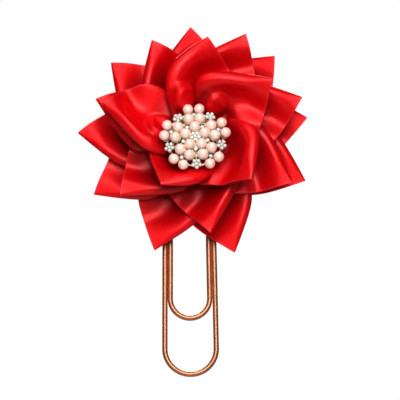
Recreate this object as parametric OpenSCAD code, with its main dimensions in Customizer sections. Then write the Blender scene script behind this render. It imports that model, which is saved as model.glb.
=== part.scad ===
// Ribbon flower with a pearl brooch centre, glued on a jumbo wire paper clip.
// Frame: +X right, +Z up, the flower faces -Y. The origin is the page stop of the
// clip: on its axis, in the plane of the wire, at the lower edge of the felt discs.

/* [Wire clip] */
// Diameter of the wire
wire_d = 2.0; // [1.6:0.1:2.1]
// Left leg of the outer loop, distance from the axis
loop_left = 11.3; // [11.1:0.1:11.6]
// Right leg of the outer loop, distance from the axis
loop_right = 11.1; // [10.4:0.1:11.6]
// Overall length of the clip
clip_length = 100; // [98:1:104]
// Depth of the outer loop below the page stop
loop_drop = 81; // [78:1:84]
// Depth of the tongue below the page stop
tongue_drop = 56; // [50:1:60]
// Left leg of the tongue, distance from the axis
tongue_left = 8.9; // [8.6:0.1:9.0]
// Right leg of the tongue, distance from the axis
tongue_right = 8.0; // [7.6:0.1:8.0]
// Height of the free end of the outer loop above the page stop
free_end_up = 12; // [8:1:14]
// Height of the free end of the tongue above the page stop
tongue_end_up = 7; // [5:0.5:7]
// Cut between the fixed wire and the flexing tongue
flex_gap = 0.4; // [0.3:0.1:0.6]

/* [Felt and glue] */
// Radius of both felt discs
felt_r = 25; // [23:0.5:26]
// Thickness of one felt disc
felt_t = 1.5; // [1:0.1:2]
// Thickness of the glue layer that holds the wire
glue_t = 2.4; // [2.3:0.1:2.6]
// Radius of the glue layer
glue_r = 22; // [20:0.5:23]
// Radius of the glue core between the petal bases
core_r = 6.5; // [5:0.5:7]
// Height of the top of the glue core
core_top = 14; // [12:0.5:16]

/* [Flower] */
// Flower axis, sideways from the clip's axis
flower_x = 2.4; // [0:0.1:3]
// Flower axis, height above the page stop
flower_z = 25; // [24:0.5:27]
// Half thickness of a petal at its fold
fold_half = 1.2; // [0.9:0.1:1.3]
// Half thickness of a petal at its open edge
edge_half = 0.4; // [0.3:0.05:0.5]
// Angle between a petal's axis and its folded edge, degrees
fold_angle = 40; // [36:1:42]
// Angle between a petal's axis and its open edge, degrees
edge_angle = 41; // [36:1:43]

/* [Brooch] */
// Height of the brooch plate's rim above the wire
brooch_h = 24.5; // [24.5:0.1:25]
// Middle of the brooch, sideways from the clip's axis
brooch_x = 1.9; // [1.5:0.1:2.4]
// Middle of the brooch, height above the page stop
brooch_z = 19.6; // [19.6:0.1:21]
// Upward tilt of the brooch, degrees
brooch_tilt = 8; // [7:0.5:9]
// Turn of the brooch pattern, degrees
brooch_turn = -3; // [-10:1:10]
// Radius of the brooch plate
plate_r = 13.6; // [13.5:0.1:14.2]
// Thickness of the brooch plate
plate_t = 0.8; // [0.6:0.1:1]
// Rise of the plate's dome
dome_rise = 3; // [2:0.5:4]
// Diameter of a pearl
pearl_d = 4.5; // [4:0.1:4.5]
// Diameter of one stone of a stone flower
petal_stone_d = 1.5; // [1.2:0.1:1.6]
// Diameter of a single stone
single_stone_d = 1.7; // [1.4:0.1:1.8]

/* [Hidden] */
// A ring of petals: [height of the tips, base radius, base height, rise of the folded
// base corner, half base width, folded side, open side, lift of the folded side,
// lift of the open side, ridge along the fold, valley along the open edge, sharpness]
OUTER_RING = [5, 11, 4.1, 2.8, 4.5, 30, 30, 5, 0, 1.5, 1.5, 3];
MIDDLE_RING = [15, 10, 8.8, 3, 6, 32, 30, 5, -0.5, 2, 2, 3];
INNER_RING = [25, 9, 13.2, 6, 6.5, 37, 33, 7.5, 1, 1.5, 3.5, 2.4];
// One petal: [angle clockwise from the top, radius of the tip, extra height of the tip]
OUTER_PETALS = [[-3, 50, 0], [43, 50.5, 0], [79.5, 49.5, 0], [112, 51.5, 0], [162, 54, 0],
                [200, 53.5, 0], [240.5, 51.5, 0], [272.5, 52, 0], [312, 50.5, 0]];
MIDDLE_PETALS = [[-25, 46, 0], [26, 49.5, 0], [71, 49, 0], [118, 47.5, 0], [172, 45, 0],
                 [230, 43.5, 0], [289, 46.5, 0]];
INNER_PETALS = [[7, 41, 0], [57, 39.5, 2], [135, 34, 5], [210, 30.5, 5], [285, 42.5, -1]];
// Cross-section of a petal, from the fold at 0 to the open edge at 1
FOLD_PART = 0.12;
SECTION = [0.04, FOLD_PART, 0.3, 0.5, 0.7, 0.86, 1];
STATIONS = 13;
TIP_STATION = 0.05;

// Clip geometry, all on the wire's centre line
wire_r = wire_d / 2;
loop_r = (loop_left + loop_right) / 2;
loop_cx = (loop_right - loop_left) / 2;
loop_cz = -loop_drop + wire_r + loop_r;
tongue_r = (tongue_left + tongue_right) / 2;
tongue_cx = (tongue_right - tongue_left) / 2;
tongue_cz = -tongue_drop + wire_r + tongue_r;
top_r = (loop_right + tongue_left) / 2;
top_cx = (loop_right - tongue_left) / 2;
top_cz = clip_length - loop_drop - wire_r - top_r;
channel_play = 0.12;

// Layers, measured from the plane of the wire
felt_in = glue_t / 2;
felt_out = felt_in + felt_t;
// Brooch details
dome_r = (plate_r * plate_r + dome_rise * dome_rise) / (2 * dome_rise);
pearl_lift = 0.3;
cup_r = 2.0;
cup_h = 1.6;
seat_play = 0.03;
stone_girdle = 0.35;
stone_crown = 0.45;
flower_lift = 1.3;
flower_disc_t = 0.5;
flower_pitch = 1.5;
single_lift = 1.2;
INNER_PEARLS = 4.1;
MIDDLE_PEARLS = 8.1;
OUTER_PEARLS = 12.5;
SIDE_FLOWERS = 11.3;
INNER_SINGLES = 5.35;
OUTER_SINGLES = 10.3;

// ---- wire clip ----

// Straight wire upwards from [x, z]
module wire_leg(x, z, length, d) {
    translate([x, 0, z]) cylinder(h = length, d = d, $fn = 48);
}

// Bend of the wire around [x, z], between two angles measured from +X towards +Z
module wire_bend(x, z, r, from, to, d) {
    translate([x, 0, z]) rotate([90, 0, 0]) rotate([0, 0, from])
        rotate_extrude(angle = to - from, $fn = 120) translate([r, 0]) circle(d = d, $fn = 48);
}

module frame_wire(d) {
    wire_leg(-loop_left, loop_cz, free_end_up - loop_cz, d);
    wire_bend(loop_cx, loop_cz, loop_r, 180, 360, d);
    wire_leg(loop_right, loop_cz, top_cz - loop_cz, d);
    wire_bend(top_cx, top_cz, top_r, 0, 180, d);
    wire_leg(-tongue_left, flex_gap / 2, top_cz - flex_gap / 2, d);
    wire_leg(tongue_right, flex_gap / 2, tongue_end_up - flex_gap / 2, d);
}

module clip_frame_wire() {
    color("peru") frame_wire(wire_d);
}

module clip_tongue_wire() {
    leg = -flex_gap / 2 - tongue_cz;
    color("peru") {
        wire_leg(-tongue_left, tongue_cz, leg, wire_d);
        wire_bend(tongue_cx, tongue_cz, tongue_r, 180, 360, wire_d);
        wire_leg(tongue_right, tongue_cz, leg, wire_d);
    }
}

// ---- felt and glue ----

// Disc around the flower's axis, between two heights towards the viewer
module layer(r, low, high) {
    translate([0, -low, flower_z]) rotate([90, 0, 0]) cylinder(h = high - low, r = r, $fn = 96);
}

module back_felt() {
    color("firebrick") layer(felt_r, -felt_out, -felt_in);
}

module base_felt() {
    color("firebrick") layer(felt_r, felt_in, felt_out);
}

module clip_glue() {
    color("ivory") difference() {
        layer(glue_r, -felt_in, felt_in);
        frame_wire(wire_d + channel_play);
    }
}

module centre_glue() {
    color("ivory") translate([flower_x, 0, 0]) layer(core_r, felt_out, core_top);
}

module brooch_glue() {
    color("ivory") difference() {
        translate([flower_x, 0, 0]) layer(core_r - 0.5, core_top, brooch_h + dome_rise);
        brooch_frame() translate([0, 0, dome_rise - dome_r]) dome_outside();
    }
}

// ---- petals ----

// Conic arc from a to c that bends towards b; w says how sharply
function conic(a, b, c, t, w) =
    let (p = (1 - t) * (1 - t), q = 2 * w * t * (1 - t), s = t * t)
    (p * a + q * b + s * c) / (p + q + s);
function unit(v) = v / norm(v);

// The six corners of a petal in its own frame [sideways, outwards, height]:
// tip, folded shoulder, open shoulder, folded base corner, open base corner, normal
function petal_corners(ring, tip_r, tip_up) =
    let (tip = [0, tip_r, ring[0] + tip_up],
         base = [0, ring[1], ring[2]],
         along = unit(base - tip),
         across = [1, 0, 0],
         up = unit(cross(along, across)),
         fold = tip + ring[5] * (cos(fold_angle) * along - sin(fold_angle) * across)
                + ring[7] * up,
         open = tip + ring[6] * (cos(edge_angle) * along + sin(edge_angle) * across)
                + ring[8] * up)
    [tip, fold, open, base + [-ring[4], 0, ring[3]], base + [ring[4], 0, 0], up];

// Half thickness at v from the fold, for a section of width w
function half_thickness(v, w) =
    min(1, max(0.35, w / 8))
    * (v < FOLD_PART ? fold_half * sqrt(1 - pow(1 - v / FOLD_PART, 2))
       : fold_half + (edge_half - fold_half) * (v - FOLD_PART) / (1 - FOLD_PART));

// Height of the ridge and the valley over the straight line from fold to open edge
function swell(ring, t, v) =
    1.5 * pow(sin(180 * t), 0.8) * sin(180 * v) * (ring[9] * (1 - v) - ring[10] * v);

// One closed section of the petal at t, from the tip at 0 to the base at 1
function petal_section(c, ring, t) =
    let (a = conic(c[0], c[1], c[3], t, ring[11]),
         b = conic(c[0], c[2], c[4], t, ring[11]),
         t0 = max(0, t - 0.01),
         t1 = min(1, t + 0.01),
         run = conic(c[0], c[1], c[3], t1, ring[11]) + conic(c[0], c[2], c[4], t1, ring[11])
               - conic(c[0], c[1], c[3], t0, ring[11]) - conic(c[0], c[2], c[4], t0, ring[11]),
         raw = unit(cross(b - a, run)),
         n = raw * c[5] < 0 ? -raw : raw,
         w = norm(b - a))
    concat([a],
           [for (v = SECTION)
               a + (b - a) * v + (swell(ring, t, v) + half_thickness(v, w)) * n],
           [for (i = [len(SECTION) - 1:-1:0]) let (v = SECTION[i])
               a + (b - a) * v + (swell(ring, t, v) - half_thickness(v, w)) * n]);

module petal(ring, place) {
    corners = petal_corners(ring, place[1], place[2]);
    count = 2 * len(SECTION) + 1;
    points = [for (i = [0:STATIONS - 1])
                let (s = TIP_STATION + (1 - TIP_STATION) * i / (STATIONS - 1),
                     t = s * s * (3 - 2 * s))
                for (p = petal_section(corners, ring, t)) [p[0], -p[2], p[1]]];
    sides = [for (i = [0:STATIONS - 2], j = [0:count - 1])
                let (a = i * count + j, b = i * count + (j + 1) % count)
                for (f = [[a, b, b + count], [a, b + count, a + count]]) f];
    tip_end = [[for (j = [count - 1:-1:0]) j]];
    base_end = [[for (j = [0:count - 1]) (STATIONS - 1) * count + j]];
    color("red") translate([flower_x, 0, flower_z]) rotate([0, place[0], 0])
        polyhedron(points, concat(sides, tip_end, base_end));
}

// ---- brooch ----

// Puts a piece drawn with +Z towards the viewer on the brooch's seat
module brooch_frame() {
    translate([brooch_x, -brooch_h, brooch_z])
        rotate([90 - brooch_tilt, 0, 0]) children();
}

// Everything that lies on or above the plate's hollow side
module dome_outside() {
    difference() {
        translate([0, 0, dome_r - 10]) cylinder(h = 20, r = plate_r + 1, $fn = 96);
        sphere(r = dome_r - plate_t, $fn = 180);
    }
}

// Puts a piece on the dome at a radius and an angle clockwise from the top
module on_dome(r, angle) {
    translate([0, 0, dome_rise - dome_r]) rotate([0, 0, -angle - brooch_turn])
        rotate([-asin(r / dome_r), 0, 0]) translate([0, 0, dome_r]) children();
}

module five_on_dome(r, angle) {
    for (i = [0:4]) on_dome(r, angle + 72 * i) children();
}

module ten_on_dome(r, half) {
    for (i = [0:4], side = [-1, 1]) on_dome(r, 72 * i + side * half) children();
}

module brooch_plate() {
    color("darkgoldenrod") brooch_frame() translate([0, 0, dome_rise - dome_r])
        difference() {
            intersection() {
                sphere(r = dome_r, $fn = 180);
                translate([0, 0, dome_r - dome_rise - 5]) cylinder(h = 10, r = plate_r, $fn = 96);
            }
            sphere(r = dome_r - plate_t, $fn = 180);
        }
}

module pearl() {
    translate([0, 0, pearl_lift + pearl_d / 2]) sphere(d = pearl_d, $fn = 48);
}

module pearl_cup() {
    difference() {
        cylinder(h = cup_h, r = cup_r, $fn = 32);
        translate([0, 0, pearl_lift + pearl_d / 2])
            sphere(r = pearl_d / 2 + seat_play, $fn = 48);
    }
}

module pearls_inner() {
    color("mistyrose") brooch_frame() five_on_dome(INNER_PEARLS, 0) pearl();
}

module pearls_middle() {
    color("mistyrose") brooch_frame() ten_on_dome(MIDDLE_PEARLS, 16) pearl();
}

module pearls_outer() {
    color("mistyrose") brooch_frame() ten_on_dome(OUTER_PEARLS, 10.5) pearl();
}

module pearl_cups() {
    color("darkgoldenrod") brooch_frame() {
        five_on_dome(INNER_PEARLS, 0) pearl_cup();
        ten_on_dome(MIDDLE_PEARLS, 16) pearl_cup();
        ten_on_dome(OUTER_PEARLS, 10.5) pearl_cup();
    }
}

// A cut stone that stands on its girdle
module stone(d) {
    cylinder(h = stone_girdle, d = d, $fn = 32);
    translate([0, 0, stone_girdle]) cylinder(h = stone_crown, d1 = d, d2 = d * 0.5, $fn = 32);
}

module flower_setting() {
    cylinder(h = flower_lift, r = 0.9, $fn = 32);
    translate([0, 0, flower_lift]) cylinder(h = flower_disc_t, r = 1.3, $fn = 32);
    for (i = [0:4]) rotate([0, 0, 72 * i]) translate([0, flower_pitch, flower_lift])
        cylinder(h = flower_disc_t, d = petal_stone_d + 0.3, $fn = 32);
}

module flower_stones() {
    translate([0, 0, flower_lift + flower_disc_t]) {
        stone(petal_stone_d - 0.2);
        for (i = [0:4]) rotate([0, 0, 72 * i]) translate([0, flower_pitch, 0])
            stone(petal_stone_d);
    }
}

module on_flowers() {
    on_dome(0, 36) children();
    five_on_dome(SIDE_FLOWERS, 36) children();
}

module on_singles() {
    five_on_dome(INNER_SINGLES, 36) children();
    five_on_dome(OUTER_SINGLES, 0) children();
}

module stone_flower_settings() {
    color("gold") brooch_frame() on_flowers() flower_setting();
}

module stone_flower_stones() {
    color("white") brooch_frame() on_flowers() flower_stones();
}

module single_stone_cups() {
    color("gold") brooch_frame() on_singles()
        cylinder(h = single_lift, d = single_stone_d + 0.1, $fn = 32);
}

module single_stones() {
    color("white") brooch_frame() on_singles() translate([0, 0, single_lift])
        stone(single_stone_d);
}

clip_frame_wire();
clip_tongue_wire();
back_felt();
base_felt();
clip_glue();
centre_glue();
brooch_glue();
petal(OUTER_RING, OUTER_PETALS[0]);  // outer_petal_1
petal(OUTER_RING, OUTER_PETALS[1]);  // outer_petal_2
petal(OUTER_RING, OUTER_PETALS[2]);  // outer_petal_3
petal(OUTER_RING, OUTER_PETALS[3]);  // outer_petal_4
petal(OUTER_RING, OUTER_PETALS[4]);  // outer_petal_5
petal(OUTER_RING, OUTER_PETALS[5]);  // outer_petal_6
petal(OUTER_RING, OUTER_PETALS[6]);  // outer_petal_7
petal(OUTER_RING, OUTER_PETALS[7]);  // outer_petal_8
petal(OUTER_RING, OUTER_PETALS[8]);  // outer_petal_9
petal(MIDDLE_RING, MIDDLE_PETALS[0]);  // middle_petal_1
petal(MIDDLE_RING, MIDDLE_PETALS[1]);  // middle_petal_2
petal(MIDDLE_RING, MIDDLE_PETALS[2]);  // middle_petal_3
petal(MIDDLE_RING, MIDDLE_PETALS[3]);  // middle_petal_4
petal(MIDDLE_RING, MIDDLE_PETALS[4]);  // middle_petal_5
petal(MIDDLE_RING, MIDDLE_PETALS[5]);  // middle_petal_6
petal(MIDDLE_RING, MIDDLE_PETALS[6]);  // middle_petal_7
petal(INNER_RING, INNER_PETALS[0]);  // inner_petal_1
petal(INNER_RING, INNER_PETALS[1]);  // inner_petal_2
petal(INNER_RING, INNER_PETALS[2]);  // inner_petal_3
petal(INNER_RING, INNER_PETALS[3]);  // inner_petal_4
petal(INNER_RING, INNER_PETALS[4]);  // inner_petal_5
brooch_plate();
pearl_cups();
pearls_inner();
pearls_middle();
pearls_outer();
stone_flower_settings();
stone_flower_stones();
single_stone_cups();
single_stones();
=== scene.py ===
"""Looks of the ribbon flower clip: folded satin petals, pearl brooch, felt discs and copper wire.

Everything is in metres, in the frame of the CAD model: +X right, +Z up, the flower faces -Y,
and the origin is the page stop of the clip. Lengths below are in millimetres until to_metres().
"""
import math
import random

import bpy
import numpy as np
from mathutils import Matrix, Vector


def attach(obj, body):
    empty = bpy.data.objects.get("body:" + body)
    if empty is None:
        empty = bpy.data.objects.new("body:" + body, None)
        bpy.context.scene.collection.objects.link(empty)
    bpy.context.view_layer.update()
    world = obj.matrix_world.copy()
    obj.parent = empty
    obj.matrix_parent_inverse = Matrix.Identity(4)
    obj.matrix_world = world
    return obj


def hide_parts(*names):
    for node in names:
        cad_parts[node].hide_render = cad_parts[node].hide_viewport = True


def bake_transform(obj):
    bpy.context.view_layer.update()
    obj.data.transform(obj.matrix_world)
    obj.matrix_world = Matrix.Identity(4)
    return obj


MM = 0.001
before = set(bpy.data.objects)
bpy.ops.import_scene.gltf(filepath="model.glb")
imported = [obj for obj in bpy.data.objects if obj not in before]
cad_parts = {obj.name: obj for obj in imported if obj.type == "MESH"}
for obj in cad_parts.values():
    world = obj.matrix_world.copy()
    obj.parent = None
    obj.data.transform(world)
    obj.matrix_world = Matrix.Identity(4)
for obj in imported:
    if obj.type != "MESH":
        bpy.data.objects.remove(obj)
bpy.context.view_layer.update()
SCENE = bpy.context.scene

# ---- driving dimensions in millimetres ----

# Those that the CAD model has too are the same there, except for the wire's diameter

FLOWER_X = 2.4
FLOWER_Z = 25.0
# The CAD's wire is 2.0 thick; this is as thick as it looks
WIRE_D = 2.32
BROOCH_X = 1.9
BROOCH_Z = 19.6
BROOCH_H = 24.5
BROOCH_TILT = 8.0
BROOCH_TURN = -3.0
PLATE_R = 13.6
DOME_RISE = 3.0
DOME_R = (PLATE_R ** 2 + DOME_RISE ** 2) / (2 * DOME_RISE)
FLOWER_STONE_D = 1.5
SINGLE_STONE_D = 1.7
FLOWER_LIFT = 1.3
FLOWER_PITCH = 1.5
SINGLE_LIFT = 1.2
FELT_R = 25.0
FELT_T = 1.5
GLUE_HALF = 1.2
RIBBON_T = 0.25

# Rings of the brooch: radius and the angles of what stands on it, clockwise from the top
FIFTH = 72
INNER_PEARLS = (4.1, [FIFTH * i for i in range(5)])
MIDDLE_PEARLS = (8.1, [FIFTH * i + s * 16 for i in range(5) for s in (-1, 1)])
OUTER_PEARLS = (12.5, [FIFTH * i + s * 10.5 for i in range(5) for s in (-1, 1)])
SIDE_FLOWERS = (11.3, [FIFTH * i + 36 for i in range(5)])
INNER_SINGLES = (5.35, [FIFTH * i + 36 for i in range(5)])
OUTER_SINGLES = (10.3, [FIFTH * i for i in range(5)])


# ---- small helpers ----

def to_metres(points):
    return [tuple(float(c) * MM for c in p) for p in points]


def mesh_object(name, points, faces, material, smooth=True):
    """A mesh object from points in millimetres."""
    mesh = bpy.data.meshes.new(name)
    mesh.from_pydata(to_metres(points), [], faces)
    mesh.validate()
    mesh.materials.append(material)
    mesh.polygons.foreach_set("use_smooth", [smooth] * len(mesh.polygons))
    obj = bpy.data.objects.new(name, mesh)
    SCENE.collection.objects.link(obj)
    return obj


def smoothstep(x):
    x = np.clip(x, 0.0, 1.0)
    return x * x * (3 - 2 * x)


class Shape:
    """Collects points and faces of several copies of a form in one mesh."""

    def __init__(self):
        self.points, self.faces = [], []

    def add(self, points, faces, matrix=None):
        start = len(self.points)
        for p in points:
            v = Vector(p)
            self.points.append(tuple(matrix @ v) if matrix is not None else tuple(v))
        self.faces += [[start + i for i in f] for f in faces]


def lathe(profile, sides):
    """Surface of revolution about +Z from (radius, height) pairs."""
    points = [
        (r * math.cos(2 * math.pi * k / sides), r * math.sin(2 * math.pi * k / sides), z)
        for r, z in profile
        for k in range(sides)
    ]
    faces = [
        [i * sides + k, i * sides + (k + 1) % sides,
         (i + 1) * sides + (k + 1) % sides, (i + 1) * sides + k]
        for i in range(len(profile) - 1)
        for k in range(sides)
    ]
    return points, faces


# How far a tube's blunt point stands out, as a share of its radius
TUBE_TIP = 0.35


def tube(path, radius, sides, closed=False):
    """Round tube along a path of points; the ends of an open one come to a blunt point."""
    path = [Vector(p) for p in path]
    count = len(path)
    points, faces = [], []
    side = None
    for i, p in enumerate(path):
        before = path[i - 1] if i or closed else p
        after = path[(i + 1) % count] if i < count - 1 or closed else p
        run = (after - before).normalized()
        if side is None:
            side = run.orthogonal().normalized()
        side = (side - run * side.dot(run)).normalized()
        other = run.cross(side)
        for k in range(sides):
            a = 2 * math.pi * k / sides
            points.append(p + radius * (math.cos(a) * side + math.sin(a) * other))
    rings = count if closed else count - 1
    for i in range(rings):
        for k in range(sides):
            a, b = i * sides, ((i + 1) % count) * sides
            faces.append([a + k, a + (k + 1) % sides, b + (k + 1) % sides, b + k])
    if not closed:
        for end, inner in ((0, 1), (count - 1, count - 2)):
            out = (path[end] - path[inner]).normalized()
            tip = len(points)
            points.append(path[end] + out * radius * TUBE_TIP)
            ring = end * sides
            for k in range(sides):
                face = [ring + k, ring + (k + 1) % sides, tip]
                faces.append(face if end else face[::-1])
    return points, faces


# ---- materials ----

def node_material(name):
    """A new material, with its node tree and Principled shader."""
    mat = bpy.data.materials.new(name)
    mat.use_nodes = True
    tree = mat.node_tree
    return mat, tree, tree.nodes["Principled BSDF"]


def add_node(tree, kind, **values):
    """A new node; each value sets a property of it, or an input, with _ for a space."""
    n = tree.nodes.new(kind)
    for key, value in values.items():
        if hasattr(n, key):
            setattr(n, key, value)
        else:
            n.inputs[key.replace("_", " ")].default_value = value
    return n


def mix_colours(tree, factor, dark, light):
    """Colour between two, by a 0 to 1 output."""
    n = tree.nodes.new("ShaderNodeMix")
    n.data_type = "RGBA"
    tree.links.new(factor, n.inputs["Factor"])
    n.inputs["A"].default_value = (*dark, 1)
    n.inputs["B"].default_value = (*light, 1)
    return n.outputs["Result"]


def mix_over(tree, factor, under, colour):
    """A colour output with one colour laid over it, by a 0 to 1 output."""
    n = tree.nodes.new("ShaderNodeMix")
    n.data_type = "RGBA"
    tree.links.new(factor, n.inputs["Factor"])
    tree.links.new(under, n.inputs["A"])
    n.inputs["B"].default_value = (*colour, 1)
    return n.outputs["Result"]


def map_range(tree, value, low, high, to_low, to_high):
    """An output rescaled from one range to another, and kept inside it."""
    n = tree.nodes.new("ShaderNodeMapRange")
    tree.links.new(value, n.inputs["Value"])
    for name, number in (("From Min", low), ("From Max", high),
                         ("To Min", to_low), ("To Max", to_high)):
        n.inputs[name].default_value = number
    return n.outputs["Result"]


def satin():
    """Red satin ribbon: long floats across the fold, a soft stretched highlight, fine grain."""
    mat, tree, shader = node_material("red_satin")
    link = tree.links.new
    uv = add_node(tree, "ShaderNodeUVMap", uv_map="ribbon")
    # The map's units are millimetres on the flat ribbon: x along its length, y across it
    threads = add_node(tree, "ShaderNodeMapping")
    threads.inputs["Scale"].default_value = (0.35, 2.6, 1)
    link(uv.outputs["UV"], threads.inputs["Vector"])
    floats = add_node(tree, "ShaderNodeTexNoise", Scale=1.0, Detail=2.0)
    link(threads.outputs["Vector"], floats.inputs["Vector"])
    grain = add_node(tree, "ShaderNodeTexNoise", Scale=1.7, Detail=3.0)
    link(uv.outputs["UV"], grain.inputs["Vector"])
    cloud = add_node(tree, "ShaderNodeTexNoise", Scale=0.07, Detail=2.0)
    link(uv.outputs["UV"], cloud.inputs["Vector"])
    tone = map_range(tree, cloud.outputs["Fac"], 0.3, 0.7, 0, 1)
    plain = mix_colours(tree, tone, (0.78, 0.0, 0.002), (0.88, 0.0, 0.004))
    weft = map_range(tree, grain.outputs["Fac"], 0.35, 0.65, 0.3, 0)
    face = mix_over(tree, weft, plain, (0.40, 0.0, 0.001))
    # Painted shade: the colour is darkened by each point's painted shade, towards the flower's
    # middle, where the petals overlap and shade each other
    painted_shade_amount = add_node(tree, "ShaderNodeAttribute", attribute_name="painted_shade")
    depth = map_range(tree, painted_shade_amount.outputs["Fac"], 0, 1, 0, 0.72)
    body = mix_over(tree, depth, face, (0.16, 0.0, 0.001))
    # The woven selvedge is paler and duller than the face; its pale, pinker line is also a painted
    # highlight, for the light that the edge catches
    place = add_node(tree, "ShaderNodeSeparateXYZ")
    link(uv.outputs["UV"], place.inputs["Vector"])
    selvedge_and_highlight = map_range(tree, place.outputs["Y"], 0.15, 0.7, 1, 0)
    cloth = mix_over(tree, selvedge_and_highlight, body, (0.84, 0.012, 0.022))
    link(cloth, shader.inputs["Base Color"])
    link(map_range(tree, grain.outputs["Fac"], 0.3, 0.7, 0.34, 0.62),
         shader.inputs["Roughness"])
    weave = add_node(tree, "ShaderNodeBump", Strength=0.35, Distance=0.0001)
    link(floats.outputs["Fac"], weave.inputs["Height"])
    fine = add_node(tree, "ShaderNodeBump", Strength=0.9, Distance=0.00012)
    link(grain.outputs["Fac"], fine.inputs["Height"])
    link(weave.outputs["Normal"], fine.inputs["Normal"])
    link(fine.outputs["Normal"], shader.inputs["Normal"])
    run = add_node(tree, "ShaderNodeTangent", direction_type="UV_MAP", uv_map="ribbon")
    link(run.outputs["Tangent"], shader.inputs["Tangent"])
    shader.inputs["Metallic"].default_value = 0.4
    # Floats along the ribbon spread the light across them, so bands run along the fold
    shader.inputs["Anisotropic"].default_value = 0.55
    shader.inputs["Anisotropic Rotation"].default_value = 0.25
    shader.inputs["IOR"].default_value = 1.5
    shader.inputs["Specular Tint"].default_value = (1.0, 0.3, 0.32, 1)
    shader.inputs["Coat Weight"].default_value = 0.22
    shader.inputs["Coat Roughness"].default_value = 0.34
    shader.inputs["Coat IOR"].default_value = 1.5
    return mat


def felt_material():
    """Pressed felt: short matted hairs, a little lint."""
    mat, tree, shader = node_material("red_felt")
    link = tree.links.new
    at = add_node(tree, "ShaderNodeTexCoord")
    fibres = add_node(tree, "ShaderNodeTexNoise", Scale=900.0, Detail=6.0, Roughness=0.7)
    link(at.outputs["Object"], fibres.inputs["Vector"])
    clumps = add_node(tree, "ShaderNodeTexNoise", Scale=120.0, Detail=3.0)
    link(at.outputs["Object"], clumps.inputs["Vector"])
    tone = map_range(tree, fibres.outputs["Fac"], 0.35, 0.7, 0, 1)
    link(mix_colours(tree, tone, (0.22, 0.0, 0.006), (0.42, 0.006, 0.014)),
         shader.inputs["Base Color"])
    link(map_range(tree, clumps.outputs["Fac"], 0.3, 0.7, 0.85, 1.0),
         shader.inputs["Roughness"])
    matted = add_node(tree, "ShaderNodeBump", Strength=0.7, Distance=0.0003)
    link(fibres.outputs["Fac"], matted.inputs["Height"])
    lumpy = add_node(tree, "ShaderNodeBump", Strength=0.4, Distance=0.0006)
    link(clumps.outputs["Fac"], lumpy.inputs["Height"])
    link(matted.outputs["Normal"], lumpy.inputs["Normal"])
    link(lumpy.outputs["Normal"], shader.inputs["Normal"])
    shader.inputs["Sheen Weight"].default_value = 0.5
    shader.inputs["Sheen Roughness"].default_value = 0.6
    shader.inputs["Sheen Tint"].default_value = (1.0, 0.5, 0.5, 1)
    shader.inputs["IOR"].default_value = 1.3
    return mat


def copper_material():
    """Copper-plated wire under clear lacquer: faint drawn lines, faint tarnish."""
    mat, tree, shader = node_material("copper_wire")
    link = tree.links.new
    at = add_node(tree, "ShaderNodeTexCoord")
    stretch = add_node(tree, "ShaderNodeMapping")
    stretch.inputs["Scale"].default_value = (600, 600, 20)
    link(at.outputs["Object"], stretch.inputs["Vector"])
    lines = add_node(tree, "ShaderNodeTexNoise", Scale=1.0, Detail=2.0)
    link(stretch.outputs["Vector"], lines.inputs["Vector"])
    spots = add_node(tree, "ShaderNodeTexNoise", Scale=180.0, Detail=4.0)
    link(at.outputs["Object"], spots.inputs["Vector"])
    tone = map_range(tree, spots.outputs["Fac"], 0.35, 0.65, 0, 1)
    link(mix_colours(tree, tone, (0.40, 0.120, 0.040), (0.48, 0.150, 0.052)),
         shader.inputs["Base Color"])
    link(map_range(tree, lines.outputs["Fac"], 0.3, 0.7, 0.36, 0.42),
         shader.inputs["Roughness"])
    drawn = add_node(tree, "ShaderNodeBump", Strength=0.01, Distance=0.00001)
    link(lines.outputs["Fac"], drawn.inputs["Height"])
    link(drawn.outputs["Normal"], shader.inputs["Normal"])
    shader.inputs["Metallic"].default_value = 0.75
    # The lacquer gives a pale streak along the wire
    shader.inputs["Coat Weight"].default_value = 0.6
    shader.inputs["Coat Roughness"].default_value = 0.24
    shader.inputs["Coat IOR"].default_value = 1.5
    return mat


def gold_material(name, dark, light, metallic):
    """Gold plating of the brooch: cast surface, tiny scratches."""
    mat, tree, shader = node_material(name)
    link = tree.links.new
    at = add_node(tree, "ShaderNodeTexCoord")
    cast = add_node(tree, "ShaderNodeTexNoise", Scale=1400.0, Detail=3.0)
    link(at.outputs["Object"], cast.inputs["Vector"])
    tone_at = add_node(tree, "ShaderNodeTexNoise", Scale=260.0, Detail=2.0)
    link(at.outputs["Object"], tone_at.inputs["Vector"])
    tone = map_range(tree, tone_at.outputs["Fac"], 0.35, 0.65, 0, 1)
    link(mix_colours(tree, tone, dark, light), shader.inputs["Base Color"])
    link(map_range(tree, cast.outputs["Fac"], 0.3, 0.7, 0.28, 0.42),
         shader.inputs["Roughness"])
    bump = add_node(tree, "ShaderNodeBump", Strength=0.15, Distance=0.00005)
    link(cast.outputs["Fac"], bump.inputs["Height"])
    link(bump.outputs["Normal"], shader.inputs["Normal"])
    shader.inputs["Metallic"].default_value = metallic
    return mat


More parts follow.
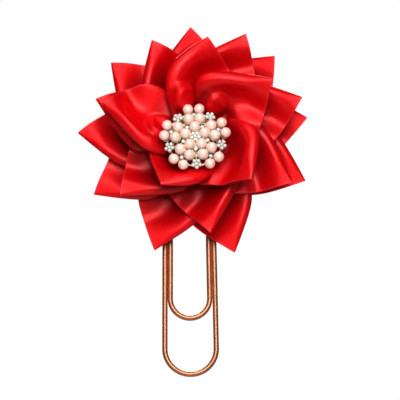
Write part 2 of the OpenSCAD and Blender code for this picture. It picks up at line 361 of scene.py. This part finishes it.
def pearl_material():
    """Blush pearls: peach body under nacre with a broad soft glow and a clear gloss."""
    mat, tree, shader = node_material("blush_pearl")
    link = tree.links.new
    at = add_node(tree, "ShaderNodeTexCoord")
    cloud = add_node(tree, "ShaderNodeTexNoise", Scale=210.0, Detail=2.0)
    link(at.outputs["Object"], cloud.inputs["Vector"])
    tone = map_range(tree, cloud.outputs["Fac"], 0.3, 0.7, 0, 1)
    link(mix_colours(tree, tone, (0.88, 0.55, 0.43), (0.95, 0.67, 0.57)),
         shader.inputs["Base Color"])
    link(map_range(tree, cloud.outputs["Fac"], 0.3, 0.7, 0.36, 0.46),
         shader.inputs["Roughness"])
    ripple = add_node(tree, "ShaderNodeBump", Strength=0.03, Distance=0.0001)
    link(cloud.outputs["Fac"], ripple.inputs["Height"])
    link(ripple.outputs["Normal"], shader.inputs["Normal"])
    shader.inputs["IOR"].default_value = 1.8
    shader.inputs["Coat Weight"].default_value = 1.0
    shader.inputs["Coat Roughness"].default_value = 0.25
    shader.inputs["Coat IOR"].default_value = 2.3
    shader.inputs["Sheen Weight"].default_value = 0.15
    shader.inputs["Sheen Tint"].default_value = (1.0, 0.8, 0.75, 1)
    return mat


def stone_material():
    """Clear cut stone over a silver foil, so that it glitters white."""
    mat, tree, shader = node_material("clear_stone")
    link = tree.links.new
    at = add_node(tree, "ShaderNodeTexCoord")
    sparkle = add_node(tree, "ShaderNodeTexVoronoi", Scale=1500.0)
    link(at.outputs["Object"], sparkle.inputs["Vector"])
    tone = map_range(tree, sparkle.outputs["Distance"], 0.1, 0.7, 0, 1)
    link(mix_colours(tree, tone, (0.95, 0.96, 0.94), (0.62, 0.63, 0.60)),
         shader.inputs["Base Color"])
    link(map_range(tree, sparkle.outputs["Distance"], 0.1, 0.7, 0.05, 0.14),
         shader.inputs["Roughness"])
    polish = add_node(tree, "ShaderNodeBump", Strength=0.05, Distance=0.00005)
    link(sparkle.outputs["Distance"], polish.inputs["Height"])
    link(polish.outputs["Normal"], shader.inputs["Normal"])
    shader.inputs["Coat Weight"].default_value = 0.6
    shader.inputs["Coat Roughness"].default_value = 0.05
    return mat


def glue_material():
    """Dried clear glue that picks up the red of the ribbon."""
    mat, tree, shader = node_material("dried_glue")
    link = tree.links.new
    at = add_node(tree, "ShaderNodeTexCoord")
    cloud = add_node(tree, "ShaderNodeTexNoise", Scale=240.0, Detail=3.0)
    link(at.outputs["Object"], cloud.inputs["Vector"])
    tone = map_range(tree, cloud.outputs["Fac"], 0.3, 0.7, 0, 1)
    link(mix_colours(tree, tone, (0.20, 0.02, 0.018), (0.34, 0.05, 0.04)),
         shader.inputs["Base Color"])
    link(map_range(tree, cloud.outputs["Fac"], 0.3, 0.7, 0.25, 0.5),
         shader.inputs["Roughness"])
    lumps = add_node(tree, "ShaderNodeBump", Strength=0.3, Distance=0.0004)
    link(cloud.outputs["Fac"], lumps.inputs["Height"])
    link(lumps.outputs["Normal"], shader.inputs["Normal"])
    return mat


SATIN = satin()
FELT = felt_material()
COPPER = copper_material()
# The plating's gold in two copies. This paler one is partly painted light: the gold's colour,
# lifted so that the pearls' seats show in the pearls' shade
GOLD = gold_material("gold_painted_light", (0.78, 0.64, 0.40), (0.90, 0.78, 0.56), 0.55)
# This darker copy of the same gold is painted shade, for the shaded gaps between the stones, and
# it keeps the settings from shining out in the key light
SHADED_GOLD = gold_material("gold_painted_shade", (0.34, 0.27, 0.16), (0.46, 0.38, 0.25), 0.4)
PEARL = pearl_material()
STONE = stone_material()
GLUE = glue_material()


# ---- camera, lights and stage ----

def look_from(obj, azimuth, elevation, distance, target):
    """Places obj on a sphere around target, looking at it; azimuth 0 looks along +Y."""
    a, e = math.radians(azimuth), math.radians(elevation)
    back = Vector((math.sin(a) * math.cos(e), -math.cos(a) * math.cos(e), math.sin(e)))
    obj.location = Vector(target) + back * distance
    obj.rotation_mode = "QUATERNION"
    obj.rotation_quaternion = (-back).to_track_quat("-Z", "Y")


# In metres, apart from the angle in degrees; the camera looks up from below
CAMERA_DISTANCE = 2.0
CAMERA_TARGET = (0.0040, 0.0004, -0.0017)
FRAME_WIDTH = 0.1754
CAMERA_ELEVATION = -12.0
SENSOR_WIDTH = 36.0
SURROUND_R = 8.0
FLOOR_SIZE = 6.0
FLOOR_Z = -0.75


def add_camera():
    data = bpy.data.cameras.new("camera")
    data.sensor_width = SENSOR_WIDTH
    data.lens = data.sensor_width * CAMERA_DISTANCE / FRAME_WIDTH
    data.clip_end = 20.0
    cam = bpy.data.objects.new("camera", data)
    SCENE.collection.objects.link(cam)
    look_from(cam, 0, CAMERA_ELEVATION, CAMERA_DISTANCE, CAMERA_TARGET)
    SCENE.camera = cam


def add_area_light(name, azimuth, elevation, distance, size, power, shines=True):
    """A round softbox; one that doesn't shine lights surfaces but isn't mirrored in them."""
    data = bpy.data.lights.new(name, "AREA")
    data.shape = "DISK"
    data.size = size
    data.energy = power
    light = bpy.data.objects.new(name, data)
    light.visible_glossy = shines
    SCENE.collection.objects.link(light)
    look_from(light, azimuth, elevation, distance, (FLOWER_X * MM, 0, FLOWER_Z * MM))


def add_stage():
    """A white surround, a pale floor far below, and a dim white sky for fill."""
    world = bpy.data.worlds.new("studio")
    SCENE.world = world
    world.use_nodes = True
    sky = world.node_tree.nodes["Background"]
    sky.inputs["Color"].default_value = (1, 1, 1, 1)
    sky.inputs["Strength"].default_value = 0.04

    white, _, shader = node_material("white_surround")
    shader.inputs["Base Color"].default_value = (0, 0, 0, 1)
    shader.inputs["Specular IOR Level"].default_value = 0
    shader.inputs["Emission Color"].default_value = (1, 1, 1, 1)
    shader.inputs["Emission Strength"].default_value = 1.0
    bpy.ops.mesh.primitive_uv_sphere_add(segments=48, ring_count=24, radius=SURROUND_R)
    surround = bpy.context.object
    surround.name = "surround"
    surround.data.materials.append(white)
    for ray in ("visible_diffuse", "visible_glossy", "visible_transmission", "visible_shadow"):
        setattr(surround, ray, False)

    pale, _, shader = node_material("pale_floor")
    shader.inputs["Base Color"].default_value = (0.9, 0.9, 0.9, 1)
    shader.inputs["Roughness"].default_value = 0.8
    bpy.ops.mesh.primitive_plane_add(size=FLOOR_SIZE, location=(0, 0, FLOOR_Z))
    floor = bpy.context.object
    floor.name = "floor"
    floor.data.materials.append(pale)
    SCENE.view_settings.view_transform = "Standard"


add_camera()
# Azimuth and elevation in degrees, distance and size in metres, power in watts
add_area_light("key_softbox", 3, 14, 0.9, 0.6, 8)
add_area_light("fill_softbox", 0, 10, 1.2, 1.6, 6.6, shines=False)
add_area_light("top_softbox", -20, 50, 1.0, 0.4, 2.0)
add_area_light("rim_softbox", 180, 35, 1.0, 0.6, 6)
add_stage()


# ---- petals ----

# A ring of petals, as in the CAD model: height of the tips, base radius, base height, rise
# of the folded base corner, half base width, folded side, open side, lift of the folded
# side, lift of the open side, sharpness of the folded and the open shoulder. Then, for the
# ribbon's own shape: radius of the roll along the fold, depth of the valley beside it, lift
# of the open edge, height of the gathers at the base; and the distances from the flower's axis
# between which painted shade darkens the colour, for the shade under the overlapping petals
RING_FIELDS = ("height", "base_r", "base_h", "base_rise", "base_half", "fold_side", "open_side",
               "fold_lift", "open_lift", "fold_sharp", "open_sharp",
               "roll", "valley", "edge_lift", "gather", "painted_shade_from", "painted_shade_at")
OUTER_RING = dict(zip(RING_FIELDS, (5, 11, 4.1, 2.8, 4.5, 30, 30, 5, 0, 3, 3,
                                    2.0, 2.6, 0.6, 0.7, 43, 29)))
MIDDLE_RING = dict(zip(RING_FIELDS, (15, 10, 8.8, 3, 6, 32, 30, 5, -0.5, 3, 3,
                                     2.6, 4.0, 0.8, 0.8, 38, 25)))
INNER_RING = dict(zip(RING_FIELDS, (25, 9, 12.2, 6, 6.5, 37, 33, 7.5, -1, 2, 2.4,
                                    3.2, 5.5, 1.2, 1.0, 25, 13)))
# Angles between a petal's axis and its folded and open sides, degrees
FOLD_ANGLE = 40.0
EDGE_ANGLE = 41.0
# Gap between the ribbon's two layers away from the roll
LAYER_GAP = 0.7
VALLEY_WIDTH = 24.0
# Stations from tip to base, places across a layer, and places round the start of the fold
ALONG = 60
ACROSS = 30
FOLD_ARC = 8
# Share of a layer's width that the closely spaced places at the fold take up
FOLD_SHARE = 0.1

# name: (ring, angle clockwise from the top, radius of the tip, extra height of the tip)
PETALS = {
    "outer_petal_1": (OUTER_RING, -3, 50, 0),
    "outer_petal_2": (OUTER_RING, 43, 50.5, 0),
    "outer_petal_3": (OUTER_RING, 79.5, 49.5, 0),
    "outer_petal_4": (OUTER_RING, 112, 51.5, 0),
    "outer_petal_5": (OUTER_RING, 162, 54, 0),
    "outer_petal_6": (OUTER_RING, 200, 53.5, 0),
    "outer_petal_7": (OUTER_RING, 240.5, 51.5, 0),
    "outer_petal_8": (OUTER_RING, 272.5, 52, 0),
    "outer_petal_9": (OUTER_RING, 312, 50.5, 0),
    "middle_petal_1": (MIDDLE_RING, -25, 46, 0),
    "middle_petal_2": (MIDDLE_RING, 26, 49.5, 0),
    "middle_petal_3": (MIDDLE_RING, 71, 49, 0),
    "middle_petal_4": (MIDDLE_RING, 118, 47.5, 0),
    "middle_petal_5": (MIDDLE_RING, 172, 45, 0),
    "middle_petal_6": (MIDDLE_RING, 230, 43.5, 0),
    "middle_petal_7": (MIDDLE_RING, 289, 46.5, 0),
    "inner_petal_1": (INNER_RING, 7, 41, 0),
    "inner_petal_2": (INNER_RING, 57, 39.5, 2),
    "inner_petal_3": (INNER_RING, 135, 34, 5),
    "inner_petal_4": (INNER_RING, 210, 30.5, 5),
    "inner_petal_5": (INNER_RING, 285, 42.5, -1),
}

# Shoulder and inner end of the inner petals' folds: sideways, outwards, height
INNER_FOLDS = {
    "inner_petal_1": ((-20, 25, 27), (-11, 4.5, 20)),
    "inner_petal_2": ((-23.5, 14.5, 28), (-12.5, 7.5, 20.5)),
    "inner_petal_3": ((-22, 21, 29), (-14.5, 7.5, 20.5)),
    "inner_petal_4": ((-14.5, 23, 29), (-16, 11.5, 21)),
    "inner_petal_5": ((-16.5, 20.5, 25), (-14, 10.5, 20)),
}

# Shoulder, inner end and sharpness of an open edge that arches more than the ring's others
INNER_EDGES = {"inner_petal_5": ((20.7, 26.8, 19), (9, 8.9, 15.5), 1.5)}

# Puffs that the gathered front layers make beside the brooch: sideways, outwards, radius, height
PUFFS = {
    "inner_petal_1": (-7.0, 14.0, 5.8, 4.2),
    "inner_petal_2": (-4.5, 13.6, 4.4, 3.6),
    "inner_petal_5": (-2.0, 16.0, 5.4, 4.0),
}
# Height of the tallest puff, where the painted shade gives way fully
PUFF_TOP = 4.2


def conic(a, b, c, t, w):
    """Conic arc from a to c that bends towards b; w says how sharply. t is an array."""
    t = np.asarray(t)[..., None]
    p, q, s = (1 - t) ** 2, 2 * w * t * (1 - t), t * t
    return (p * a + q * b + s * c) / (p + q + s)


def unit(v):
    """Vectors along the last axis, scaled to length 1."""
    return v / np.linalg.norm(v, axis=-1, keepdims=True)


def petal_corners(name, ring, tip_r, tip_up):
    """Tip, folded shoulder, open shoulder, folded and open base corners, and the normal."""
    tip = np.array([0, tip_r, ring["height"] + tip_up], float)
    base = np.array([0, ring["base_r"], ring["base_h"]], float)
    along = unit(base - tip)
    across = np.array([1.0, 0, 0])
    up = unit(np.cross(along, across))
    fa, ea = math.radians(FOLD_ANGLE), math.radians(EDGE_ANGLE)
    fold = (tip + ring["fold_side"] * (math.cos(fa) * along - math.sin(fa) * across)
            + ring["fold_lift"] * up)
    edge = (tip + ring["open_side"] * (math.cos(ea) * along + math.sin(ea) * across)
            + ring["open_lift"] * up)
    fold_base = base + np.array([-ring["base_half"], 0, ring["base_rise"]])
    edge_base = base + np.array([ring["base_half"], 0, 0])
    if name in INNER_EDGES:
        edge, edge_base = (np.array(p, float) for p in INNER_EDGES[name][:2])
    if name in INNER_FOLDS:
        fold, fold_base = (np.array(p, float) for p in INNER_FOLDS[name])
    return tip, fold, edge, fold_base, edge_base, up


def arc_length(curve):
    """How far each point of a curve is from its start, along it."""
    steps = np.linalg.norm(np.diff(curve, axis=0), axis=1)
    return np.concatenate([[0], np.cumsum(steps)])


def cross_section(ring, t, p, q):
    """Height of the front layer over the straight line from the fold to the open edge, and
    the gap down to the back layer. p is how far the section is from the tip along the fold,
    and q how far each place is from the fold, so the roll and the valley follow the fold."""
    roll = (ring["roll"] * (0.25 + 0.75 * smoothstep(p / 16))
            * (1 - 0.45 * smoothstep((t - 0.7) / 0.3)))
    crest = 1.15 * roll + 0.6
    rise = np.sqrt(np.clip(1 - (1 - q / crest) ** 2, 0, 1))
    beyond = np.clip((q - crest) / VALLEY_WIDTH, 0, 1)
    fall = 1 - smoothstep(beyond / 0.8)
    depth = ring["valley"] * smoothstep((p - 3) / 18) * (1 - 0.6 * smoothstep((t - 0.75) / 0.25))
    dip = depth * np.sin(math.pi * beyond) ** 1.5
    front = np.where(q < crest, roll * rise, roll * fall - dip)
    front = front + ring["edge_lift"] * smoothstep((q - crest) / 25) * math.sin(math.pi * t)
    gap = np.where(q < crest, 1.5 * roll * rise, LAYER_GAP + (1.5 * roll - LAYER_GAP) * fall)
    return front, gap


def petal_mesh(name, ring, angle, tip_r, tip_up):
    """The folded ribbon: one sheet that runs from the back layer's open edge round the fold
    to the front layer's open edge, in stations from the tip to the base with its gathers;
    each point also gets its painted shade."""
    rng = random.Random(name)
    tip, fold, edge, fold_base, edge_base, up = petal_corners(name, ring, tip_r, tip_up)
    open_sharp = INNER_EDGES[name][2] if name in INNER_EDGES else ring["open_sharp"]

    def sides(t):
        return (conic(tip, fold, fold_base, t, ring["fold_sharp"]),
                conic(tip, edge, edge_base, t, open_sharp))

    t = smoothstep(0.02 + 0.98 * np.linspace(0, 1, ALONG) ** 1.1)
    a, b = sides(t)
    width = np.linalg.norm(b - a, axis=1)
    after, before = sides(np.clip(t + 0.01, 0, 1)), sides(np.clip(t - 0.01, 0, 1))
    run = after[0] + after[1] - before[0] - before[1]
    n = unit(np.cross(b - a, run))
    n = np.where((n @ up)[:, None] < 0, -n, n)

    # One layer's places across the petal, from the fold to the open edge, closest at the fold
    quarter = math.pi / 2 * np.arange(FOLD_ARC) / FOLD_ARC
    vs = np.concatenate([FOLD_SHARE * (1 - np.cos(quarter)),
                         np.linspace(FOLD_SHARE, 1, ACROSS)])

    # Gathers at the base, and a soft unevenness all over, different on every petal
    pleats = rng.uniform(1.6, 2.4)
    phase = rng.uniform(0, math.pi)
    wander = [(rng.uniform(0.5, 1.6), rng.uniform(0.6, 1.8), rng.uniform(0, 6.28),
               rng.uniform(0.05, 0.13)) for _ in range(4)]
    open_arc, fold_arc = arc_length(b), arc_length(a)

    rows, uvs, painted_shade = [], [], []
    for i in range(ALONG):
        ti = t[i]
        front, gap = cross_section(ring, ti, fold_arc[i], vs * width[i])
        gather = (ring["gather"] * smoothstep((ti - 0.5) / 0.35) * np.sin(math.pi * vs)
                  * np.cos(2 * math.pi * pleats * vs + phase))
        uneven = sum(h * np.sin(math.pi * 2 * (fu * ti + fv * vs) + p) for fu, fv, p, h in wander)
        uneven = uneven * math.sin(math.pi * min(1, ti * 1.2)) ** 1.5 * smoothstep(vs * 4)
        line = a[i] + (b[i] - a[i]) * vs[:, None]
        puff = 0.0
        if name in PUFFS:
            px, py, radius, height = PUFFS[name]
            away = np.hypot(line[:, 0] - px, line[:, 1] - py) / radius
            puff = height * np.exp(-away ** 6)
        top = line + (front + gather + uneven + puff)[:, None] * n[i]
        under = top - (gap + puff)[:, None] * n[i]
        rows.append(np.vstack([under[::-1], top[1:]]))
        # Painted shade: darker towards the flower's axis, where the petals overlap and shade each
        # other, less on the puffs, which stand up into the light, and full on the back layer,
        # which lies in shade
        out = np.hypot(line[:, 0], line[:, 1])
        painted_shade_amount = (smoothstep((ring["painted_shade_from"] - out) / (ring["painted_shade_from"] - ring["painted_shade_at"]))
                * (1 - puff / PUFF_TOP))
        painted_shade += [1.0] * len(painted_shade_amount) + list(painted_shade_amount[1:])
        along_ribbon = vs * open_arc[i]
        across_ribbon = (1 - vs) * fold_arc[i]
        uvs.append(list(zip(-along_ribbon[::-1], across_ribbon[::-1]))
                   + list(zip(along_ribbon[1:], across_ribbon[1:])))
    count = len(rows[0])
    turn = Matrix.Rotation(math.radians(angle), 3, "Y")
    points = []
    for row in rows:
        for p in row:
            v = turn @ Vector((p[0], -p[2], p[1]))
            points.append((v.x + FLOWER_X, v.y, v.z + FLOWER_Z))
    faces = [
        [i * count + j, i * count + j + 1, (i + 1) * count + j + 1, (i + 1) * count + j]
        for i in range(ALONG - 1)
        for j in range(count - 1)
    ]
    return points, faces, [uv for row in uvs for uv in row], painted_shade


def make_petal(name, ring, angle, tip_r, tip_up):
    """One petal's object: a thin sheet of satin with its weave map, on the flower."""
    points, faces, uvs, painted_shade = petal_mesh(name, ring, angle, tip_r, tip_up)
    obj = mesh_object("satin_" + name, points, faces, SATIN)
    layer = obj.data.uv_layers.new(name="ribbon")
    for loop in obj.data.loops:
        layer.data[loop.index].uv = uvs[loop.vertex_index]
    # Each point's painted shade, by which the satin is darkened
    shade = obj.data.attributes.new("painted_shade", "FLOAT", "POINT")
    shade.data.foreach_set("value", painted_shade)
    thick = obj.modifiers.new("ribbon thickness", "SOLIDIFY")
    thick.thickness = RIBBON_T * MM
    thick.offset = 0
    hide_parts(name)
    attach(obj, "flower")


for petal_name, (ring, angle, tip_r, tip_up) in PETALS.items():
    make_petal(petal_name, ring, angle, tip_r, tip_up)


# ---- brooch ----

BROOCH = (Matrix.Translation((BROOCH_X, -BROOCH_H, BROOCH_Z))
          @ Matrix.Rotation(math.radians(90 - BROOCH_TILT), 4, "X"))
# Radii of the lattice's rings and struts, how deep they lie under the dome, and the radius
# at which the struts start round the middle
LATTICE_WIRE = 0.38
STRUT_WIRE = 0.28
LATTICE_LIFT = -0.4
STRUT_LIFT = -0.35
HUB_R = 0.3
# A pearl's seat in section, radius and height, and where its claws stand
RIM_PROFILE = [(1.95, 0.9), (2.1, 1.25), (2.28, 1.5), (2.4, 1.62), (2.43, 1.72), (2.38, 1.8),
               (2.26, 1.8), (2.12, 1.68), (1.98, 1.4), (1.9, 1.1)]
CLAW_R = 0.2
CLAW_AT = 2.2
CLAW_Z = 2.0
# Heights of a cut stone's girdle and of its crown above that
STONE_GIRDLE = 0.3
STONE_CROWN = 0.5


def on_dome(radius, angle, lift=0.0):
    """Frame of a place on the brooch's dome: its +Z points away from the dome."""
    return (BROOCH @ Matrix.Translation((0, 0, DOME_RISE - DOME_R))
            @ Matrix.Rotation(math.radians(-angle - BROOCH_TURN), 4, "Z")
            @ Matrix.Rotation(-math.asin(radius / DOME_R), 4, "X")
            @ Matrix.Translation((0, 0, DOME_R + lift)))


def places(ring):
    """Radius and angle of everything on a ring."""
    radius, angles = ring
    return [(radius, angle) for angle in angles]


def piece(name, shape, material, replaced, smooth=True):
    """Makes an object of the flower from a Shape, and says what it stands for."""
    obj = mesh_object(name, shape.points, shape.faces, material, smooth)
    if replaced:
        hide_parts(*replaced)
    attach(obj, "flower")
    return obj


def dome_path(places_on_path, lift):
    """Points on the dome from radii and angles."""
    return [on_dome(r, angle, lift) @ Vector((0, 0, 0)) for r, angle in places_on_path]


def strut(shape, start, end):
    """A wire on the dome between two places, each a radius and an angle."""
    steps = 6
    (r0, a0), (r1, a1) = start, end
    x0, y0 = r0 * math.sin(math.radians(a0)), r0 * math.cos(math.radians(a0))
    x1, y1 = r1 * math.sin(math.radians(a1)), r1 * math.cos(math.radians(a1))
    line = []
    for k in range(steps + 1):
        x, y = x0 + (x1 - x0) * k / steps, y0 + (y1 - y0) * k / steps
        line.append((math.hypot(x, y), math.degrees(math.atan2(x, y))))
    shape.add(*tube(dome_path(line, STRUT_LIFT), STRUT_WIRE, 8))


def make_lattice():
    """Open cast frame under the pearls: three rings and the struts that join the cups."""
    shape = Shape()
    for r in (INNER_PEARLS[0], MIDDLE_PEARLS[0], OUTER_PEARLS[0] - 0.4):
        circle = [(r, 4 * k) for k in range(90)]
        shape.add(*tube(dome_path(circle, LATTICE_LIFT), LATTICE_WIRE, 10, closed=True))
    for i in range(5):
        turn = FIFTH * i
        strut(shape, (HUB_R, turn), (INNER_PEARLS[0], turn))
        for s in (-1, 1):
            middle = (MIDDLE_PEARLS[0], turn + s * 16)
            strut(shape, (INNER_PEARLS[0], turn), middle)
            strut(shape, middle, (OUTER_PEARLS[0], turn + s * 10.5))
            strut(shape, middle, (SIDE_FLOWERS[0], turn + s * 36))
        strut(shape, (INNER_PEARLS[0], turn), (OUTER_SINGLES[0], turn))
        strut(shape, (HUB_R, turn + 36), (SIDE_FLOWERS[0], turn + 36))
    piece("brooch_frame", shape, GOLD, ["brooch_plate"])


def make_rims():
    """A flared, rolled seat round each inner and middle pearl, with three claws."""
    shape = Shape()
    seat = lathe(RIM_PROFILE, 32)
    claw = lathe([(CLAW_R * math.sin(math.pi * k / 6), -CLAW_R * math.cos(math.pi * k / 6))
                  for k in range(7)], 8)
    for r, angle in places(INNER_PEARLS) + places(MIDDLE_PEARLS):
        at = on_dome(r, angle)
        shape.add(*seat, at)
        for k in range(3):
            shape.add(*claw, at @ Matrix.Rotation(math.radians(120 * k + 60), 4, "Z")
                      @ Matrix.Translation((CLAW_AT, 0, CLAW_Z)))
    piece("pearl_seats", shape, GOLD, [])


def cut_stone(d):
    """Brilliant cut: an eight-sided table, two rows of crown facets and a thin girdle."""
    levels = [(0.5 * d, 0.0, 0), (0.5 * d, STONE_GIRDLE, 0),
              (0.40 * d, STONE_GIRDLE + 0.55 * STONE_CROWN, 0.5),
              (0.27 * d, STONE_GIRDLE + STONE_CROWN, 0)]
    points, faces = [], []
    sides = 8
    for r, z, turn in levels:
        for k in range(sides):
            a = 2 * math.pi * (k + turn) / sides
            points.append((r * math.cos(a), r * math.sin(a), z))
    for level in range(3):
        low, high = level * sides, (level + 1) * sides
        for k in range(sides):
            nxt = (k + 1) % sides
            if level == 0:
                faces.append([low + k, low + nxt, high + nxt, high + k])
            elif level == 1:
                faces += [[low + k, low + nxt, high + k], [low + nxt, high + nxt, high + k]]
            else:
                faces += [[low + k, high + nxt, high + k], [low + k, low + nxt, high + nxt]]
    faces.append(list(reversed(range(sides))))
    faces.append([3 * sides + k for k in range(sides)])
    return points, faces


def stone_places():
    """Frame and diameter of every stone: six flowers of six, then the single ones."""
    found = []
    for r, angle in [(0, 36)] + places(SIDE_FLOWERS):
        at = on_dome(r, angle) @ Matrix.Translation((0, 0, FLOWER_LIFT + 0.42))
        found.append((at, FLOWER_STONE_D - 0.15))
        for k in range(5):
            turn = Matrix.Rotation(math.radians(FIFTH * k), 4, "Z")
            found.append((at @ turn @ Matrix.Translation((0, FLOWER_PITCH, 0)), FLOWER_STONE_D))
    for r, angle in places(INNER_SINGLES) + places(OUTER_SINGLES):
        found.append((on_dome(r, angle) @ Matrix.Translation((0, 0, SINGLE_LIFT - 0.05)),
                      SINGLE_STONE_D))
    return found


def make_stones():
    """All the cut stones, and four small claws on each."""
    stones, claws = Shape(), Shape()
    claw = lathe([(0.1, -0.25), (0.12, 0.1), (0.12, 0.3), (0.07, 0.4), (0.0, 0.43)], 8)
    for at, d in stone_places():
        stones.add(*cut_stone(d), at)
        for k in range(4):
            claws.add(*claw, at @ Matrix.Rotation(math.radians(90 * k + 45), 4, "Z")
                      @ Matrix.Translation((0.5 * d, 0, STONE_GIRDLE - 0.05)))
    piece("cut_stones", stones, STONE, ["stone_flower_stones", "single_stones"],
          smooth=False)
    piece("stone_claws", claws, SHADED_GOLD, [])


make_lattice()
make_rims()
make_stones()


# ---- copper wire ----

# Where the legs stand, sideways, at most about 1 mm from the CAD's. The right legs lean:
# straight above LEAN_TOP_Z, and from there out to their place at the bend
LOOP_LEFT = -11.3
LOOP_RIGHT = 11.1
LOOP_RIGHT_TOP = 10.05
TONGUE_LEFT = -8.97
TONGUE_RIGHT = 8.25
TONGUE_RIGHT_TOP = 7.72
LEAN_TOP_Z = -20.0
# Heights of the bends' centres, of the wire's two ends, and of the change from loop to tongue
LOOP_Z = -68.1
TONGUE_Z = -45.85
TOP_Z = 8.0
FREE_END_Z = 12.0
TONGUE_END_Z = 7.0
JOIN_Z = 5.0
WIRE_STEP = 2.0
WIRE_SIDES = 24
BEND_STEPS = 40


def wire_line(start, end):
    """Points from start towards end, in steps, without the end."""
    (x0, z0), (x1, z1) = start, end
    count = max(1, round(math.hypot(x1 - x0, z1 - z0) / WIRE_STEP))
    return [(x0 + (x1 - x0) * k / count, 0, z0 + (z1 - z0) * k / count) for k in range(count)]


def wire_arc(left, right, z, below):
    """Half circle from the left leg to the right leg at height z."""
    r, cx = (right - left) / 2, (right + left) / 2
    sign = -1 if below else 1
    angles = [math.pi * k / BEND_STEPS for k in range(BEND_STEPS + 1)]
    return [(cx - r * math.cos(a), 0, z + sign * r * math.sin(a)) for a in angles]


def make_wire():
    """The fixed outer loop with the top bend, and the tongue as an object of its own; on the real
    clip the tongue bends out of the flower.
    """
    path = wire_line((LOOP_LEFT, FREE_END_Z), (LOOP_LEFT, LOOP_Z))
    path += wire_arc(LOOP_LEFT, LOOP_RIGHT, LOOP_Z, below=True)
    path += wire_line((LOOP_RIGHT, LOOP_Z), (LOOP_RIGHT_TOP, LEAN_TOP_Z))[1:]
    path += wire_line((LOOP_RIGHT_TOP, LEAN_TOP_Z), (LOOP_RIGHT_TOP, TOP_Z))
    path += wire_arc(TONGUE_LEFT, LOOP_RIGHT_TOP, TOP_Z, below=False)[::-1]
    path += wire_line((TONGUE_LEFT, TOP_Z), (TONGUE_LEFT, JOIN_Z))[1:]
    shape = Shape()
    shape.add(*tube(path, WIRE_D / 2, WIRE_SIDES))
    piece("copper_loop", shape, COPPER, ["clip_frame_wire"])

    path = wire_line((TONGUE_LEFT, JOIN_Z + 0.5), (TONGUE_LEFT, TONGUE_Z))
    path += wire_arc(TONGUE_LEFT, TONGUE_RIGHT, TONGUE_Z, below=True)
    path += wire_line((TONGUE_RIGHT, TONGUE_Z), (TONGUE_RIGHT_TOP, LEAN_TOP_Z))[1:]
    path += wire_line((TONGUE_RIGHT_TOP, LEAN_TOP_Z), (TONGUE_RIGHT_TOP, TONGUE_END_Z))
    shape = Shape()
    shape.add(*tube(path, WIRE_D / 2, WIRE_SIDES))
    tongue = mesh_object("copper_tongue", shape.points, shape.faces, COPPER)
    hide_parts("clip_tongue_wire")
    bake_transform(tongue)


make_wire()


# ---- felt discs ----

FELT_RINGS = 34
FELT_SPOKES = 144
# Radius from which the discs close towards each other
CLOSE_FROM = 20.0
# Share of the radius from which the rim is rounded, and half width of the bulge over a wire
RIM_FROM = 0.97
BULGE = 1.8


def felt_disc(side, seed):
    """A hand-cut disc that closes towards the other one at its rim, except over the wires.
    side is 1 for the back disc and -1 for the one under the petals."""
    rng = random.Random(seed)
    waves = [(rng.randint(3, 17), rng.uniform(0, 6.28), rng.uniform(0.03, 0.12)) for _ in range(6)]
    legs = (LOOP_LEFT, TONGUE_LEFT, TONGUE_RIGHT, LOOP_RIGHT_TOP)
    rings = [k / FELT_RINGS for k in range(1, FELT_RINGS)] + [0.985, 0.995, 1.0]
    outer, inner = [], []
    for share in rings:
        for k in range(FELT_SPOKES):
            a = 2 * math.pi * k / FELT_SPOKES
            cut = FELT_R - 0.25 + sum(h * math.sin(n * a + p) for n, p, h in waves)
            r = share * cut
            x, z = r * math.sin(a), r * math.cos(a)
            over_wire = max(math.exp(-((x - leg) / BULGE) ** 2) for leg in legs) if z < -5 else 0
            shut = smoothstep((r - CLOSE_FROM) / (FELT_R - CLOSE_FROM)) * (1 - over_wire)
            low = GLUE_HALF * (1 - 0.9 * shut) + 0.12 * over_wire
            rim = math.sqrt(max(0.0, 1 - max(0.0, (share - RIM_FROM) / (1 - RIM_FROM)) ** 2))
            middle = low + FELT_T / 2
            outer.append((x, side * (middle + FELT_T / 2 * rim), FLOWER_Z + z))
            inner.append((x, side * (middle - FELT_T / 2 * rim), FLOWER_Z + z))
    # Both layers share the last ring, the rounded rim
    half = len(outer)
    rim_start = half - FELT_SPOKES
    points = outer + inner[:rim_start]
    faces = []
    for i in range(len(rings) - 1):
        for k in range(FELT_SPOKES):
            a, b = i * FELT_SPOKES, (i + 1) * FELT_SPOKES
            nxt = (k + 1) % FELT_SPOKES
            quad = [a + k, b + k, b + nxt, a + nxt]
            faces.append(quad if side > 0 else quad[::-1])
            back = [q if q >= rim_start else half + q for q in quad]
            faces.append(back[::-1] if side > 0 else back)
    for start, flip in ((0, side < 0), (half, side > 0)):
        centre = len(points)
        y = side * (GLUE_HALF + (FELT_T if start == 0 else 0))
        points.append((0, y, FLOWER_Z))
        for k in range(FELT_SPOKES):
            face = [start + k, start + (k + 1) % FELT_SPOKES, centre]
            faces.append(face[::-1] if flip else face)
    return points, faces


def make_felts():
    """The back disc and the one under the petals."""
    for name, side, node in (("felt_back", 1, "back_felt"), ("felt_base", -1, "base_felt")):
        shape = Shape()
        shape.add(*felt_disc(side, name))
        felt = piece(name, shape, FELT, [node])


make_felts()


# ---- looks of the CAD nodes that stay ----

def dress(node, material):
    """Gives a CAD node a material; its shape stays as it is."""
    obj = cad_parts[node]
    obj.data.materials.clear()
    obj.data.materials.append(material)


for node in ("clip_glue", "centre_glue", "brooch_glue"):
    dress(node, GLUE)
# The stone settings and cups take the darker copy of the gold, which is painted shade
for node in ("stone_flower_settings", "single_stone_cups"):
    dress(node, SHADED_GOLD)
# The pearl cups take the paler copy of the gold, which is partly painted light
dress("pearl_cups", GOLD)
for node in ("pearls_inner", "pearls_middle", "pearls_outer"):
    dress(node, PEARL)
